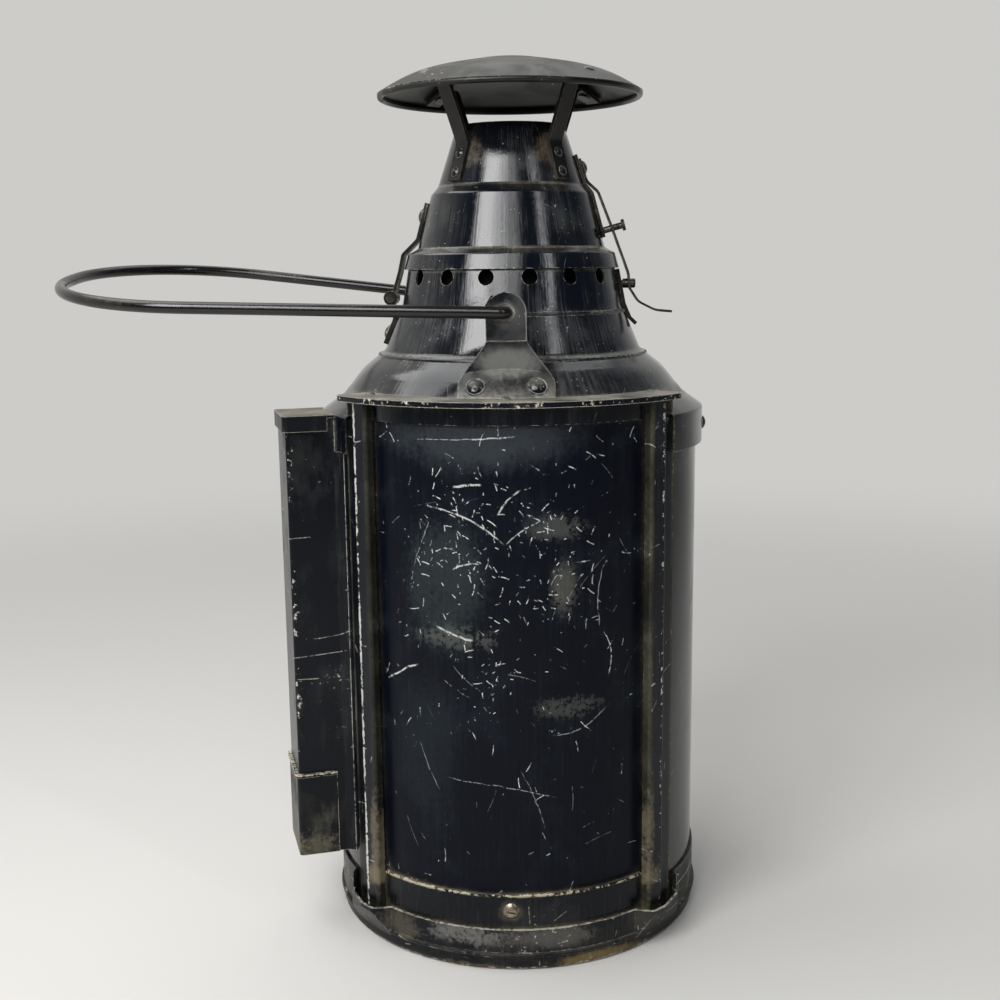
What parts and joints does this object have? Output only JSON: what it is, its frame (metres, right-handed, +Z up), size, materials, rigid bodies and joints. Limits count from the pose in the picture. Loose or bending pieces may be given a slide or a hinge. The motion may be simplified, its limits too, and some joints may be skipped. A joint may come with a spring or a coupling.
{
  "type": "morse signal lamp",
  "caption": "Oil-burning signal lamp: tin drum with a curved shutter before a stepped lens, spun dome, hinged cowl with weather cap, bracket socket and wire bail.",
  "frame": {"origin": "centre of the flat underside of the base pan", "axes": "+Z up, -Y toward the bay with the shutter, cowl hinge at -X and catch at +X"},
  "size_m": [0.3617, 0.2223, 0.48],
  "materials": {
    "black_japan": "worn gloss black japan over tin",
    "dark_steel": "browned wire and spring steel",
    "bright_screw": "bare steel",
    "tinned_sheet": "dull tinned sheet",
    "lamp_brass": "aged brass",
    "lens_glass": "cast glass",
    "chimney_glass": "clear thin glass",
    "cotton_wick": "woven cotton"
  },
  "bodies": {
    "lamp_body": {"base_pan": "black_japan", "body_shell": "black_japan", "bay_post_left": "black_japan", "bay_post_right": "black_japan", "ledge_band": "black_japan", "ledge_screw": "bright_screw", "header_band": "black_japan", "bay_flange": "black_japan", "flange_rivets": "black_japan", "dome": "black_japan", "draught_baffle": "black_japan", "shoulder_screws": "black_japan", "ear_front": "black_japan", "ear_rear": "black_japan", "ear_rivets": "black_japan", "bracket_socket": "black_japan", "socket_lid": "black_japan", "socket_shoe": "black_japan", "hinge_leaf_lower": "black_japan", "hinge_pin": "dark_steel", "leaf_rivet": "black_japan", "keeper_strap": "black_japan", "keeper_stud": "dark_steel", "shutter_track": "tinned_sheet", "shutter_guide": "tinned_sheet", "lens": "lens_glass", "lens_rail_lower": "lamp_brass", "lens_rail_upper": "lamp_brass", "lens_stile_left": "lamp_brass", "lens_stile_right": "lamp_brass", "font_seat": "tinned_sheet"},
    "upper_cowl": {"cowl": "black_japan", "weather_cap": "black_japan", "cap_strut_1": "black_japan", "cap_strut_2": "black_japan", "cap_strut_3": "black_japan", "cap_strut_4": "black_japan", "cap_rivets": "black_japan", "strut_rivets": "black_japan", "hinge_leaf_upper": "black_japan", "catch_strap": "black_japan", "guide_stud": "dark_steel", "cowl_rivets": "black_japan"},
    "catch": {"catch_spring": "dark_steel"},
    "bail": {"bail": "dark_steel"},
    "shutter_drum": {"shutter": "black_japan", "shutter_hoop_upper": "tinned_sheet", "shutter_hoop_lower": "tinned_sheet", "shutter_bar": "tinned_sheet", "shutter_lever": "black_japan", "shutter_knob": "lamp_brass"},
    "oil_font": {"font": "tinned_sheet", "burner": "lamp_brass"},
    "chimney": {"chimney": "chimney_glass"},
    "filler_cap": {"filler_cap": "lamp_brass"},
    "wick_spindle": {"wick_spindle": "lamp_brass"},
    "wick": {"wick": "cotton_wick"}
  },
  "joints": [
    {"name": "bail_pivot", "type": "hinge", "parent": "lamp_body", "child": "bail", "pos_m": [0, 0, 0.346], "axis": [0, 1, 0], "range_deg": [-30, 200]},
    {"name": "cowl_hinge", "type": "hinge", "parent": "lamp_body", "child": "upper_cowl", "pos_m": [-0.0678, 0, 0.3519], "axis": [0, -1, 0], "range_deg": [0, 100]},
    {"name": "catch_release", "type": "hinge", "parent": "upper_cowl", "child": "catch", "pos_m": [0.0406, 0, 0.4217], "axis": [0, -1, 0], "range_deg": [0, 7], "stiffness_Nm_per_rad": 0.5, "deforming": ["catch_spring"]},
    {"name": "shutter_turn", "type": "hinge", "parent": "lamp_body", "child": "shutter_drum", "pos_m": [0, 0, 0.15], "axis": [0, 0, 1], "range_deg": [0, 100]},
    {"name": "font_lift", "type": "slide", "parent": "lamp_body", "child": "oil_font", "axis": [0, 0, 1], "range_m": [0, 0.12]},
    {"name": "chimney_lift", "type": "slide", "parent": "oil_font", "child": "chimney", "axis": [0, 0, 1], "range_m": [0, 0.06]},
    {"name": "filler_cap_lift", "type": "slide", "parent": "oil_font", "child": "filler_cap", "axis": [0, 0, 1], "range_m": [0, 0.02]},
    {"name": "wick_turn", "type": "hinge", "parent": "oil_font", "child": "wick_spindle", "pos_m": [0, -0.0038, 0.098], "axis": [1, 0, 0], "range_deg": [-210, 125]},
    {"name": "wick_raise", "type": "slide", "parent": "oil_font", "child": "wick", "axis": [0, 0, 1], "range_m": [-0.0098, 0.0058]}
  ],
  "couplings": [
    {"joint": "wick_turn", "follows": "wick_raise", "rad_per_m": 370.37}
  ]
}
